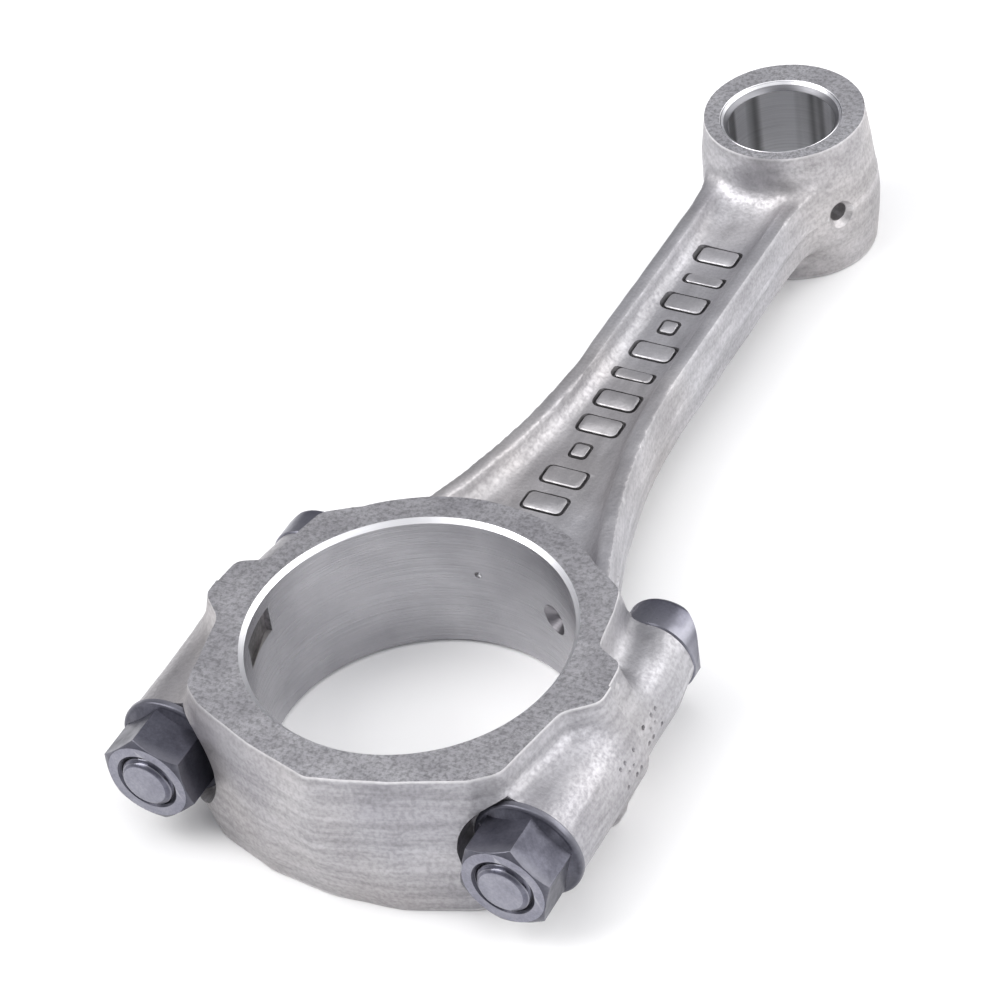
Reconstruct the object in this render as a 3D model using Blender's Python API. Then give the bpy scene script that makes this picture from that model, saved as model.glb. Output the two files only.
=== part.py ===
"""Connecting rod of a small engine with its bolted bearing cap, lying flat on its side.

Seven pieces: the rod forging, the bearing cap, two bolts, two nuts and the small-end bush. The rod
points along +Y from the big end to the small end and both bores run along Z. The origin is under
the middle of the whole rod, on the plane it lies on. Lengths are in metres.
"""

import bpy
import bmesh
import math

# Driving dimensions
GAP = 0.0003                # clearance between pieces that touch
OVER = 0.0010               # how far a cutter or a joined body runs past the face it meets
FAR = 0.0500                # half size of a cutter that clears everything sideways
HALF_WIDTH = 0.0135         # half the width of both ends, along the bores
CENTRES = 0.1426            # from the big-end bore to the small-end bore

BIG_BORE_R = 0.0260
BIG_CHAMFER = 0.00075
RING_R = 0.0316             # machined land round the rod half of the big end
LAND_DRAFT = 0.0019         # how far the forged sides swell out at the parting plane, trimmed flash included
RING_FROM_DEG = 48          # where the round part of the rod's land starts, from +X

BOLT_X = 0.0312             # bolt axes, either side of the bore
BOLT_R = 0.0045
BOLT_TIP_R = 0.0037
BOLT_END_Y = -0.0331
BOSS_ROD_R = 0.0076
BOSS_CAP_R = 0.0087
HEAD_SEAT_Y = 0.0205
NUT_SEAT_Y = -0.0228
HEAD_R = 0.0071
HEAD_HEIGHT = 0.0065
HEAD_FLAT = 0.0058          # from the bolt axis to the flat that stops the head turning
HEAD_EDGE = 0.0012
HEAD_BALL_X = 0.0004        # the head's outer side falls away in an arc from here
HEAD_BALL_R = 0.0068
HEAD_SEAT_HALF = 0.0088     # half the width of the step milled for the head
HEAD_SEAT_TOP = 0.0360
SEAT_RECESS_R = 0.0099      # spot face that clears the nut's washer face
NUT_HALF_FLATS = 0.0071
NUT_END_Y = -0.0323
NUT_COLLAR_R = 0.0091
NUT_COLLAR = 0.0017
NUT_CROWN = 0.0008
NUT_COUNTERSINK_R = 0.0053
NUT_TURN_DEG = {"right": 17.0, "left": 40.0}

BEAM_HALF_THICK = 0.0060
BEAM_START = 0.0275         # inside the big end
BEAM_END = 0.1345           # inside the eye
BEAM_WAIST = 0.0092         # half width of the plain part of the beam
BEAM_BIG_FLARE = 0.0091     # extra half width where the beam meets the big end
BEAM_BIG_START = 0.0330
BEAM_BIG_END = 0.0780
BEAM_FLARE_POWER = 1.9
BEAM_SMALL_FLARE = 0.0022
BEAM_SMALL_START = 0.1210
BEAM_SMALL_END = 0.1360
BEAM_DRAFT = 0.0005
FLANGE_TOP = 0.0025         # width of the flat on top of each flange
POCKET_SLOPE = 0.0017
WEB_HALF_THICK = 0.0025
POCKET_END_TOP = 0.1302
POCKET_END_FLOOR = 0.1215
POCKET_CORNER = 0.0045
POCKET_OVERCUT = 0.0006     # how far the pocket's cutter stands above the flanges

EYE_OFFSET = 0.0015         # the small end is thicker beyond its bore
EYE_FACE_R = 0.0144
EYE_MID_R = 0.0160          # at the parting plane, trimmed flash included
EYE_BORE_R = 0.0109
EYE_CHAMFER = 0.0002
BUSH_OUTER_R = EYE_BORE_R - GAP
BUSH_INNER_R = 0.0096
BUSH_HALF_LENGTH = 0.0134
BUSH_EDGE = 0.0002
BUSH_CHAMFER = 0.0011
EYE_OIL_R = 0.0016
EYE_OIL_SINK_R = 0.0022
EYE_OIL_ANGLE_DEG = 117.0   # from +Y towards +X

SPURT_R = 0.0013
SPURT_ANGLE_DEG = 29.0
TANG_LOW = 0.0054           # the tang slot's sides, above the mid-plane
TANG_HIGH = 0.0104
TANG_LENGTH = 0.0090        # from the joint to where the slot runs out of the bore wall
TANG_DEPTH = 0.0011


def material(name, colour, metallic, roughness):
    mat = bpy.data.materials.new(name)
    mat.use_nodes = True
    shader = mat.node_tree.nodes["Principled BSDF"]
    shader.inputs["Base Color"].default_value = (*colour, 1.0)
    shader.inputs["Metallic"].default_value = metallic
    shader.inputs["Roughness"].default_value = roughness
    return mat


def finish(bm, name, mat=None, origin=None):
    """Make an object of the mesh, which is drawn about the given origin."""
    bmesh.ops.recalc_face_normals(bm, faces=bm.faces)
    mesh = bpy.data.meshes.new(name)
    bm.to_mesh(mesh)
    bm.free()
    obj = bpy.data.objects.new(name, mesh)
    obj.location = origin or BIG_CENTRE
    bpy.context.scene.collection.objects.link(obj)
    if mat:
        mesh.materials.append(mat)
    mesh.shade_smooth()
    mesh.set_sharp_from_angle(angle=math.radians(35))
    return obj


def boolean(target, other, operation):
    other.hide_render = True
    other.display_type = "WIRE"
    modifier = target.modifiers.new(other.name, "BOOLEAN")
    modifier.operation = operation
    modifier.solver = "EXACT"
    modifier.object = other


def loft(rings):
    """Close a solid over rings of points that all have the same count."""
    bm = bmesh.new()
    loops = [[bm.verts.new(point) for point in ring] for ring in rings]
    count = len(rings[0])
    for low, high in zip(loops, loops[1:]):
        for i in range(count):
            j = (i + 1) % count
            bm.faces.new((low[i], low[j], high[j], high[i]))
    bm.faces.new(loops[0])
    bm.faces.new(loops[-1])
    return bm


def turned(profile, segments, axis="Z", centre=(0.0, 0.0, 0.0)):
    """Spin (radius, height) points about an axis through the centre into a solid."""
    rings = []
    for radius, height in profile:
        ring = []
        for k in range(segments):
            angle = 2 * math.pi * k / segments
            u = radius * math.cos(angle)
            v = radius * math.sin(angle)
            if axis == "Z":
                point = (centre[0] + u, centre[1] + v, centre[2] + height)
            elif axis == "Y":
                point = (centre[0] + u, centre[1] + height, centre[2] + v)
            else:
                point = (centre[0] + height, centre[1] + u, centre[2] + v)
            ring.append(point)
        rings.append(ring)
    return loft(rings)


def box(x0, x1, y0, y1, z0, z1):
    return loft([[(x0, y0, z), (x1, y0, z), (x1, y1, z), (x0, y1, z)] for z in (z0, z1)])


def rounded(corners, steps=4):
    """Turn (x, y, radius) corners in millimetres into an outline with its corners filleted."""
    path = []
    count = len(corners)
    for i, (x, y, radius) in enumerate(corners):
        px, py, _ = corners[i - 1]
        nx, ny, _ = corners[(i + 1) % count]
        ax, ay = px - x, py - y
        bx, by = nx - x, ny - y
        la, lb = math.hypot(ax, ay), math.hypot(bx, by)
        ax, ay, bx, by = ax / la, ay / la, bx / lb, by / lb
        turn = math.acos(max(-1.0, min(1.0, ax * bx + ay * by)))
        if radius == 0 or turn > math.radians(178):
            path.append((x * 0.001, y * 0.001))
            continue
        reach = min(radius / math.tan(turn / 2), 0.49 * la, 0.49 * lb)
        for k in range(steps + 1):
            t = k / steps
            p = (1 - t) ** 2
            q = t ** 2
            path.append(((x + ax * reach * p + bx * reach * q) * 0.001,
                         (y + ay * reach * p + by * reach * q) * 0.001))
    return path


def offset(path, distance):
    """Move each point of a counter-clockwise outline outwards."""
    moved = []
    count = len(path)
    for i, (x, y) in enumerate(path):
        px, py = path[i - 1]
        nx, ny = path[(i + 1) % count]
        tx, ty = nx - px, ny - py
        length = math.hypot(tx, ty)
        moved.append((x + distance * ty / length, y - distance * tx / length))
    return moved


def mirrored(half):
    """Complete a half outline, listed from +X round to the middle, on the -X side."""
    return half + [(-x, y, r) for x, y, r in reversed(half) if x > 0]


def swollen(path):
    """Raise an outline into a forged body that is widest at its parting plane."""
    levels = ((-1.0, 0.0), (-0.94, 0.35), (-0.6, 0.8), (0.0, 1.0), (0.6, 0.8), (0.94, 0.35), (1.0, 0.0))
    rings = []
    for level, swell in levels:
        ring = offset(path, LAND_DRAFT * swell)
        rings.append([(x, y, level * HALF_WIDTH) for x, y in ring])
    bm = loft(rings)
    bmesh.ops.triangulate(bm, faces=[face for face in bm.faces if len(face.verts) == 4])
    return bm


def beam_half_width(y):
    width = BEAM_WAIST
    if y < BEAM_BIG_END:
        span = (BEAM_BIG_END - y) / (BEAM_BIG_END - BEAM_BIG_START)
        width += BEAM_BIG_FLARE * span ** BEAM_FLARE_POWER
    if y > BEAM_SMALL_START:
        span = (y - BEAM_SMALL_START) / (BEAM_SMALL_END - BEAM_SMALL_START)
        width += BEAM_SMALL_FLARE * span ** 2
    return width


def beam_ring(y0, y1, inset, z, steps=22):
    heights = [y0 + (y1 - y0) * k / steps for k in range(steps + 1)]
    right = [(beam_half_width(y) - inset, y, z) for y in heights]
    return right + [(-x, y, z) for x, y, z in reversed(right)]


def pocket_ring(y_end, inset, z, steps=18, round_steps=6):
    """The pocket's outline at one depth: straight along the flanges, round at the small end."""
    y0 = BIG_BORE_R
    heights = [y0 + (y_end - POCKET_CORNER - y0) * k / steps for k in range(steps + 1)]
    right = [(beam_half_width(y) - inset, y, z) for y in heights]
    reach = right[-1][0]
    for k in range(1, round_steps):
        angle = math.radians(90 * k / round_steps)
        x = reach - POCKET_CORNER * (1 - math.cos(angle))
        right.append((x, y_end - POCKET_CORNER * (1 - math.sin(angle)), z))
    return right + [(-x, y, z) for x, y, z in reversed(right)]


# Half outlines of the machined lands in millimetres: x, y and corner radius
ROD_LAND = [(34.7, -3.0, 0), (34.1, 5.0, 2.0), (29.3, 7.2, 2.5), (27.9, 15.5, 0), (26.7, 20.1, 3.0),
            (21.9, 23.2, 2.5)]
RING_ARC = [(RING_R * 1000 * math.cos(math.radians(angle)), RING_R * 1000 * math.sin(math.radians(angle)), 0)
            for angle in range(RING_FROM_DEG, 91, 6)]
CAP_LAND = [(34.8, 3.0, 0), (34.8, -3.4, 2.5), (30.2, -7.6, 3.5), (28.4, -16.5, 0), (27.3, -22.4, 4.0),
            (23.5, -25.4, 2.0), (12.0, -30.1, 6.0), (0.0, -33.4, 3.0)]

cap_outline = rounded(mirrored(CAP_LAND))[::-1]
EYE_END_Y = CENTRES + EYE_OFFSET + EYE_MID_R
CAP_END_Y = min(y for x, y in offset(cap_outline, LAND_DRAFT))
BIG_Y = -(EYE_END_Y + CAP_END_Y) / 2
BIG_CENTRE = (0.0, BIG_Y, HALF_WIDTH)

forged = material("forged_steel", (0.56, 0.55, 0.57), 0.85, 0.52)
forged_cap = material("forged_steel_cap", (0.55, 0.54, 0.56), 0.85, 0.50)
bush_metal = material("bush_metal", (0.50, 0.50, 0.53), 0.95, 0.30)
bolt_steel = material("blackened_bolt_steel", (0.10, 0.10, 0.13), 0.80, 0.42)
nut_steel = material("blackened_nut_steel", (0.09, 0.09, 0.12), 0.80, 0.40)

for old in list(bpy.data.objects):
    bpy.data.objects.remove(old, do_unlink=True)


def beam():
    """The I-section beam before its pockets, reaching inside both ends."""
    levels = ((-BEAM_HALF_THICK, 0.0), (0.0, -BEAM_DRAFT), (BEAM_HALF_THICK, 0.0))
    return loft([beam_ring(BEAM_START, BEAM_END, inset, z) for z, inset in levels])


def pocket(side):
    top = BEAM_HALF_THICK + POCKET_OVERCUT
    top_inset = FLANGE_TOP - POCKET_SLOPE * POCKET_OVERCUT / (BEAM_HALF_THICK - WEB_HALF_THICK)
    rings = [pocket_ring(POCKET_END_FLOOR, FLANGE_TOP + POCKET_SLOPE, side * WEB_HALF_THICK),
             pocket_ring(POCKET_END_TOP, top_inset, side * top)]
    return loft(rings)


def rod_forging():
    rod = finish(beam(), "rod_forging", forged)
    for side, name in ((1, "pocket_top"), (-1, "pocket_bottom")):
        boolean(rod, finish(pocket(side), name), "DIFFERENCE")
    land = rounded(mirrored(ROD_LAND + RING_ARC))
    boolean(rod, finish(swollen(land), "rod_ring"), "UNION")
    eye_profile = []
    for k in range(-3, 4):
        level = k / 3
        eye_profile.append((EYE_FACE_R + (EYE_MID_R - EYE_FACE_R) * (1 - level ** 2), level * HALF_WIDTH))
    eye = turned(eye_profile, 64, centre=(0.0, CENTRES + EYE_OFFSET, 0.0))
    boolean(rod, finish(eye, "eye_barrel"), "UNION")
    for side, name in ((1, "right"), (-1, "left")):
        boss_profile = [(BOSS_ROD_R, -3 * OVER), (BOSS_ROD_R, HEAD_SEAT_Y + OVER)]
        boss = turned(boss_profile, 40, "Y", (side * BOLT_X, 0, 0))
        boolean(rod, finish(boss, "rod_boss_" + name), "UNION")
    boolean(rod, finish(box(-FAR, FAR, -FAR, GAP / 2, -FAR, FAR), "joint_cut"), "DIFFERENCE")
    for side, name in ((1, "right"), (-1, "left")):
        hole = turned([(BOLT_R + GAP, -FAR), (BOLT_R + GAP, FAR)], 32, "Y", (side * BOLT_X, 0, 0))
        boolean(rod, finish(hole, "rod_bolt_hole_" + name), "DIFFERENCE")
        x0, x1 = sorted((side * (BOLT_X - HEAD_FLAT - GAP), side * FAR))
        seat = box(x0, x1, HEAD_SEAT_Y, HEAD_SEAT_TOP, -HEAD_SEAT_HALF, HEAD_SEAT_HALF)
        boolean(rod, finish(seat, "head_seat_" + name), "DIFFERENCE")
    boolean(rod, finish(big_bore(), "rod_big_bore"), "DIFFERENCE")
    eye_bore = bore(EYE_BORE_R, EYE_CHAMFER, HALF_WIDTH, 64, CENTRES)
    boolean(rod, finish(eye_bore, "eye_bore"), "DIFFERENCE")
    boolean(rod, finish(eye_oil_hole(), "eye_oil_hole"), "DIFFERENCE")
    boolean(rod, finish(spurt_hole(), "spurt_hole"), "DIFFERENCE")
    return rod


def bore(radius, chamfer, half, segments, centre_y=0.0):
    """The solid that leaves a bore with a chamfer at both ends."""
    flare = radius + chamfer + OVER
    profile = [(flare, -half - OVER), (radius, -half + chamfer),
               (radius, half - chamfer), (flare, half + OVER)]
    return turned(profile, segments, centre=(0.0, centre_y, 0.0))


def big_bore():
    return bore(BIG_BORE_R, BIG_CHAMFER, HALF_WIDTH, 96)


def drill(angle_deg, profile, centre_y, segments=20):
    """A drill that leaves a bore sideways, in the middle plane, at an angle from +Y towards +X."""
    bm = turned(profile, segments, "X")
    turn = math.radians(90 - angle_deg)
    for vert in bm.verts:
        x, y, z = vert.co
        vert.co = (x * math.cos(turn) - y * math.sin(turn),
                   x * math.sin(turn) + y * math.cos(turn) + centre_y, z)
    return bm


def eye_oil_hole():
    sink = EYE_OIL_SINK_R - EYE_OIL_R
    profile = [(EYE_OIL_R, EYE_BORE_R - OVER), (EYE_OIL_R, EYE_MID_R - 2 * sink),
               (EYE_OIL_SINK_R, EYE_MID_R - sink), (EYE_OIL_SINK_R, EYE_MID_R + 4 * OVER)]
    return drill(EYE_OIL_ANGLE_DEG, profile, CENTRES)


def spurt_hole():
    return drill(SPURT_ANGLE_DEG, [(SPURT_R, BIG_BORE_R - 3 * OVER), (SPURT_R, BIG_BORE_R + 16 * OVER)], 0.0)


def tang_slot():
    """Wedge for the bearing shell's tang in the bore wall, deepest at the joint face."""
    wall = -BIG_BORE_R
    inside = wall + 3 * OVER
    plan = [(inside, OVER), (wall - TANG_DEPTH, OVER), (wall - TANG_DEPTH, -OVER),
            (wall + TANG_DEPTH, -TANG_LENGTH), (inside, -TANG_LENGTH)]
    return loft([[(x, y, z) for x, y in plan] for z in (TANG_LOW, TANG_HIGH)])


def bearing_cap():
    cap = finish(swollen(cap_outline), "bearing_cap", forged_cap)
    for side, name in ((1, "right"), (-1, "left")):
        boss_profile = [(BOSS_CAP_R, NUT_SEAT_Y - OVER), (BOSS_CAP_R, 3 * OVER)]
        boss = turned(boss_profile, 44, "Y", (side * BOLT_X, 0, 0))
        boolean(cap, finish(boss, "cap_boss_" + name), "UNION")
    boolean(cap, finish(box(-FAR, FAR, -GAP / 2, FAR, -FAR, FAR), "cap_joint_cut"), "DIFFERENCE")
    for side, name in ((1, "right"), (-1, "left")):
        hole = turned([(BOLT_R + GAP, -FAR), (BOLT_R + GAP, FAR)], 32, "Y", (side * BOLT_X, 0, 0))
        boolean(cap, finish(hole, "cap_bolt_hole_" + name), "DIFFERENCE")
        seat = turned([(SEAT_RECESS_R, -FAR), (SEAT_RECESS_R, NUT_SEAT_Y)], 44, "Y", (side * BOLT_X, 0, 0))
        boolean(cap, finish(seat, "nut_seat_" + name), "DIFFERENCE")
    boolean(cap, finish(big_bore(), "cap_big_bore"), "DIFFERENCE")
    boolean(cap, finish(tang_slot(), "cap_tang_slot"), "DIFFERENCE")
    return cap


def rod_bolt(side, name):
    """Bolt with a round head, flattened on the side that lies against the rod's shoulder."""
    head_y = HEAD_SEAT_Y + GAP
    top_y = head_y + HEAD_HEIGHT
    profile = [(BOLT_TIP_R, BOLT_END_Y), (BOLT_R, BOLT_END_Y + BOLT_R - BOLT_TIP_R), (BOLT_R, head_y),
               (HEAD_R, head_y), (HEAD_R, top_y - HEAD_EDGE),
               (HEAD_R - HEAD_EDGE, top_y)]
    origin = (side * BOLT_X, BIG_Y, HALF_WIDTH)
    bolt = finish(turned(profile, 40, "Y"), name, bolt_steel, origin)
    x0, x1 = sorted((-side * HEAD_FLAT, -side * (HEAD_R + OVER)))
    flat = box(x0, x1, head_y - OVER, top_y + OVER, -HEAD_R - OVER, HEAD_R + OVER)
    boolean(bolt, finish(flat, name + "_flat", origin=origin), "DIFFERENCE")
    boolean(bolt, finish(head_relief(side, head_y), name + "_relief", origin=origin), "DIFFERENCE")
    return bolt


def head_relief(side, head_y):
    """What is taken off the head's outer side to leave it round in plan."""
    steps = 8
    plan = [(HEAD_BALL_X, head_y + HEAD_HEIGHT + OVER)]
    for k in range(1, steps + 1):
        angle = math.radians(90 * k / steps)
        plan.append((HEAD_BALL_X + HEAD_BALL_R * math.sin(angle), head_y + HEAD_HEIGHT * math.cos(angle)))
    plan[1:1] = [(HEAD_BALL_X, head_y + HEAD_HEIGHT)]
    plan += [(HEAD_R + OVER, head_y), (HEAD_R + OVER, head_y + HEAD_HEIGHT + OVER)]
    half = HEAD_R + OVER
    return loft([[(side * x, y, z) for x, y in plan] for z in (-half, half)])


def rod_nut(side, name):
    """Hexagon nut: six flats with a turned crown, on a round washer face."""
    origin = (side * BOLT_X, BIG_Y, HALF_WIDTH)
    base_y = NUT_SEAT_Y - GAP
    corner = NUT_HALF_FLATS / math.cos(math.pi / 6)
    hexagon = []
    for y in (NUT_END_Y, base_y - NUT_COLLAR * 0.5):
        ring = []
        for k in range(6):
            angle = math.radians(60 * k + NUT_TURN_DEG[name.split("_")[-1]])
            ring.append((corner * math.cos(angle), y, corner * math.sin(angle)))
        hexagon.append(ring)
    nut = finish(loft(hexagon), name, nut_steel, origin)
    clear = corner + OVER / 4
    crown_profile = [(NUT_HALF_FLATS - OVER / 10, NUT_END_Y), (clear, NUT_END_Y + NUT_CROWN), (clear, base_y)]
    crown = turned(crown_profile, 48, "Y")
    boolean(nut, finish(crown, name + "_crown", origin=origin), "INTERSECT")
    collar = turned([(NUT_HALF_FLATS, base_y - NUT_COLLAR * 1.25),
                     (NUT_COLLAR_R - NUT_COLLAR * 0.3, base_y - NUT_COLLAR),
                     (NUT_COLLAR_R, base_y - NUT_COLLAR * 0.7), (NUT_COLLAR_R, base_y)], 48, "Y")
    boolean(nut, finish(collar, name + "_collar", origin=origin), "UNION")
    sink = NUT_COUNTERSINK_R - BOLT_R - GAP
    hole = turned([(NUT_COUNTERSINK_R + OVER, NUT_END_Y - OVER), (BOLT_R + GAP, NUT_END_Y + sink),
                   (BOLT_R + GAP, base_y + OVER)], 36, "Y")
    boolean(nut, finish(hole, name + "_bore", origin=origin), "DIFFERENCE")
    return nut


def small_end_bush():
    outer, half = BUSH_OUTER_R, BUSH_HALF_LENGTH
    body = turned([(outer - BUSH_EDGE, -half), (outer, -half + BUSH_EDGE), (outer, half - BUSH_EDGE),
                   (outer - BUSH_EDGE, half)], 64)
    origin = (0.0, BIG_Y + CENTRES, HALF_WIDTH)
    bush = finish(body, "small_end_bush", bush_metal, origin)
    hole = bore(BUSH_INNER_R, BUSH_CHAMFER, half, 64)
    boolean(bush, finish(hole, "bush_bore", origin=origin), "DIFFERENCE")
    oil = drill(EYE_OIL_ANGLE_DEG, [(EYE_OIL_R, BUSH_INNER_R - OVER), (EYE_OIL_R, outer + OVER)], 0.0)
    boolean(bush, finish(oil, "bush_oil_hole", origin=origin), "DIFFERENCE")
    return bush


rod_forging()
bearing_cap()
rod_bolt(1, "rod_bolt_right")
rod_bolt(-1, "rod_bolt_left")
rod_nut(1, "rod_nut_right")
rod_nut(-1, "rod_nut_left")
small_end_bush()
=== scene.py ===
"""The connecting rod's fine surfaces, materials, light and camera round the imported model."""

import math

import bmesh
import bpy
import numpy as np
from mathutils import Matrix, Vector


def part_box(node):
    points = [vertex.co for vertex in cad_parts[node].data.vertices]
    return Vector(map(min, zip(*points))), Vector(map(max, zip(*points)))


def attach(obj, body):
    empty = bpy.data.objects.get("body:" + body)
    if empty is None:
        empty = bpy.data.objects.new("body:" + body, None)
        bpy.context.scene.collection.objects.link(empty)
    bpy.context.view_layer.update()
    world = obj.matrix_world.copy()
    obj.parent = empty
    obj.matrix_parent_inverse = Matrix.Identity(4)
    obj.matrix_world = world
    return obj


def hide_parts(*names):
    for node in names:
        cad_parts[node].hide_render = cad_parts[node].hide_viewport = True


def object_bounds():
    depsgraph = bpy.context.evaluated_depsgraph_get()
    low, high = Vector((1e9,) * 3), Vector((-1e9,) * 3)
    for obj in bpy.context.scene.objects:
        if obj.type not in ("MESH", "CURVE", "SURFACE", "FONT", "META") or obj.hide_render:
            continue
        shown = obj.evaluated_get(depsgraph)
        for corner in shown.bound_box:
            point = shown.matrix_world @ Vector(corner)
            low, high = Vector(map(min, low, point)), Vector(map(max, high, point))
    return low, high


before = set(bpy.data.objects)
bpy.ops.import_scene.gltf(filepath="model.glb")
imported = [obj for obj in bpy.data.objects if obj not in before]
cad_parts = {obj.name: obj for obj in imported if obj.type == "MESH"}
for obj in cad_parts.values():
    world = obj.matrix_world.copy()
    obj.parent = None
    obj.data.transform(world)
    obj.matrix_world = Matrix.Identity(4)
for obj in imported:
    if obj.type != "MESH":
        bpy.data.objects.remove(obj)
cad_low, cad_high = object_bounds()

# Sizes in millimetres, measured from the middle of the big-end bore: +Y to the small end
MM = 0.001
HALF_WIDTH = 13.5
CENTRES = 142.6
BIG_BORE_R = 26.0
BIG_CHAMFER = 0.75
RING_R = 31.6
SWELL = 1.5
BOLT_X = 31.2
BOLT_R = 4.5
BOLT_ROOT_R = 3.95
BOLT_TIP_R = 3.7
NECK_RELIEF = 0.25
SHANK_RELIEF = 0.2
FIT_TOP_Y = 9.0
BOLT_END_Y = -33.1
THREAD_TOP_Y = -17.5
PITCH = 1.0
BOSS_ROD_R = 7.6
BOSS_CAP_R = 8.7
BOSS_NARROWS = 0.8
BOSS_NARROWS_FROM = 13.0
HEAD_SEAT_Y = 20.5
NUT_SEAT_Y = -22.8
HEAD_R = 7.1
HEAD_HEIGHT = 6.5
HEAD_EDGE = 1.2
HEAD_BALL_X = 0.4             # where the ball that rounds the head's back starts, across
HEAD_BALL_R = 6.8
HEAD_FLAT = 5.8
HEAD_LIP = 0.25
HEAD_SPOT_R = 8.3
SEAT_RECESS_R = 9.9
NUT_HALF_FLATS = 7.1
NUT_END_Y = -32.3
NUT_COLLAR_R = 9.1
NUT_COLLAR = 1.7
NUT_CROWN = 0.8
NUT_EDGE = 0.22
NUT_TURN_DEG = {1: 17.0, -1: 40.0}
NUT_SINK_R = 5.3
BEAM_HALF_THICK = 6.0
BEAM_WAIST = 9.2
BEAM_START = 24.0
BEAM_END = 137.0
BEAM_EDGE = 0.5
FLANGE_TOP = 2.5
POCKET_SLOPE = 1.7
POCKET_END = 130.2
POCKET_END_SLOPE = 8.7
WEB_HALF_THICK = 2.5
EYE_Y = CENTRES + 1.5
EYE_FACE_R = 14.4
EYE_MID_R = 15.5
EYE_BORE_R = 10.9
BUSH_INNER_R = 9.6
BUSH_HALF_LENGTH = 13.4
BUSH_CHAMFER = 1.05
EYE_OIL_DEG = 117.0
EYE_OIL_R = 1.75
EYE_OIL_SINK_R = 2.5
BUSH_OIL_R = 1.2
BUSH_OIL_SINK_R = 1.6
SPURT_DEG = 29.0
SPURT_R = 1.3
SPURT_SINK_R = 2.8
PRICK_DEG = -5.9
PRICK_Z = 2.2
TANG_LOW = 5.4
TANG_HIGH = 10.4
TANG_DEPTH = 1.1
TANG_LENGTH = 9.0
PUNCH_ROWS_DEG = (26.0, 14.0, 2.0)
PUNCH_START = 2.6
PUNCH_STEP = 1.5
HOLE_PLAY = 0.06
HAIRLINE = 0.02
BLANK_Z = 14.6
CLEAR = 20.0                  # how far cutting tools reach past the faces
PAST_EYE_Y = 180.0
FAR = 60.0
FORGING_BLEND = 3.4
FULL_TURN = 2 * math.pi

bush_low, bush_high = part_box("small_end_bush")
BIG_CENTRE = Vector(((bush_low.x + bush_high.x) / 2, (bush_low.y + bush_high.y) / 2 - CENTRES * MM,
                     (bush_low.z + bush_high.z) / 2))
TO_WORLD = Matrix.Translation(BIG_CENTRE) @ Matrix.Scale(MM, 4)


# ---------------------------------------------------------------- mesh tools

def new_object(name, mesh):
    obj = bpy.data.objects.new(name, mesh)
    bpy.context.scene.collection.objects.link(obj)
    return obj


def from_bmesh(name, bm):
    bmesh.ops.recalc_face_normals(bm, faces=bm.faces)
    mesh = bpy.data.meshes.new(name)
    bm.to_mesh(mesh)
    bm.free()
    return new_object(name, mesh)


def loft(rings, closed=True):
    """Join rings with quads, and cap the ends or join the last ring to the first."""
    bm = bmesh.new()
    loops = [[bm.verts.new(point) for point in ring] for ring in rings]
    count = len(rings[0])
    for low, high in zip(loops, loops[1:]):
        for i in range(count):
            j = (i + 1) % count
            bm.faces.new((low[i], low[j], high[j], high[i]))
    if closed:
        bm.faces.new(loops[0])
        bm.faces.new(loops[-1])
    else:
        for i in range(count):
            j = (i + 1) % count
            bm.faces.new((loops[-1][i], loops[-1][j], loops[0][j], loops[0][i]))
    return bm


def turned(profile, segments, axis="Z", centre=(0.0, 0.0, 0.0), closed=True):
    """Spin (radius, height) points about an axis; closed False joins the last point to the first."""
    rings = []
    for radius, height in profile:
        ring = []
        for k in range(segments):
            angle = FULL_TURN * k / segments
            u = radius * math.cos(angle)
            v = radius * math.sin(angle)
            if axis == "Z":
                point = (centre[0] + u, centre[1] + v, centre[2] + height)
            elif axis == "Y":
                point = (centre[0] + u, centre[1] + height, centre[2] + v)
            else:
                point = (centre[0] + height, centre[1] + u, centre[2] + v)
            ring.append(point)
        rings.append(ring)
    return loft(rings, closed)


def box(x0, x1, y0, y1, z0, z1):
    return loft([[(x0, y0, z), (x1, y0, z), (x1, y1, z), (x0, y1, z)] for z in (z0, z1)])


def drill(angle_deg, profile, centre_y, segments=40, z=0.0):
    """A solid that points sideways out of a bore at an angle from +Y towards +X."""
    bm = turned(profile, segments, "X")
    turn = math.radians(90 - angle_deg)
    for vert in bm.verts:
        x, y, h = vert.co
        vert.co = (x * math.cos(turn) - y * math.sin(turn),
                   x * math.sin(turn) + y * math.cos(turn) + centre_y, h + z)
    return bm


def joined(parts):
    """One tool from several solids that stand apart."""
    whole = bmesh.new()
    for bm in parts:
        mesh = bpy.data.meshes.new("part")
        bmesh.ops.recalc_face_normals(bm, faces=bm.faces)
        bm.to_mesh(mesh)
        bm.free()
        whole.from_mesh(mesh)
        bpy.data.meshes.remove(mesh)
    return whole


def boolean(target, bm, operation="DIFFERENCE"):
    """Cut a solid from the target or add it, and keep the result as the target's mesh."""
    other = from_bmesh("tool", bm)
    modifier = target.modifiers.new("cut", "BOOLEAN")
    modifier.operation = operation
    modifier.solver = "MANIFOLD"
    modifier.object = other
    graph = bpy.context.evaluated_depsgraph_get()
    mesh = bpy.data.meshes.new_from_object(target.evaluated_get(graph))
    target.modifiers.clear()
    old = target.data
    target.data = mesh
    bpy.data.meshes.remove(old)
    bpy.data.objects.remove(other)


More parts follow.
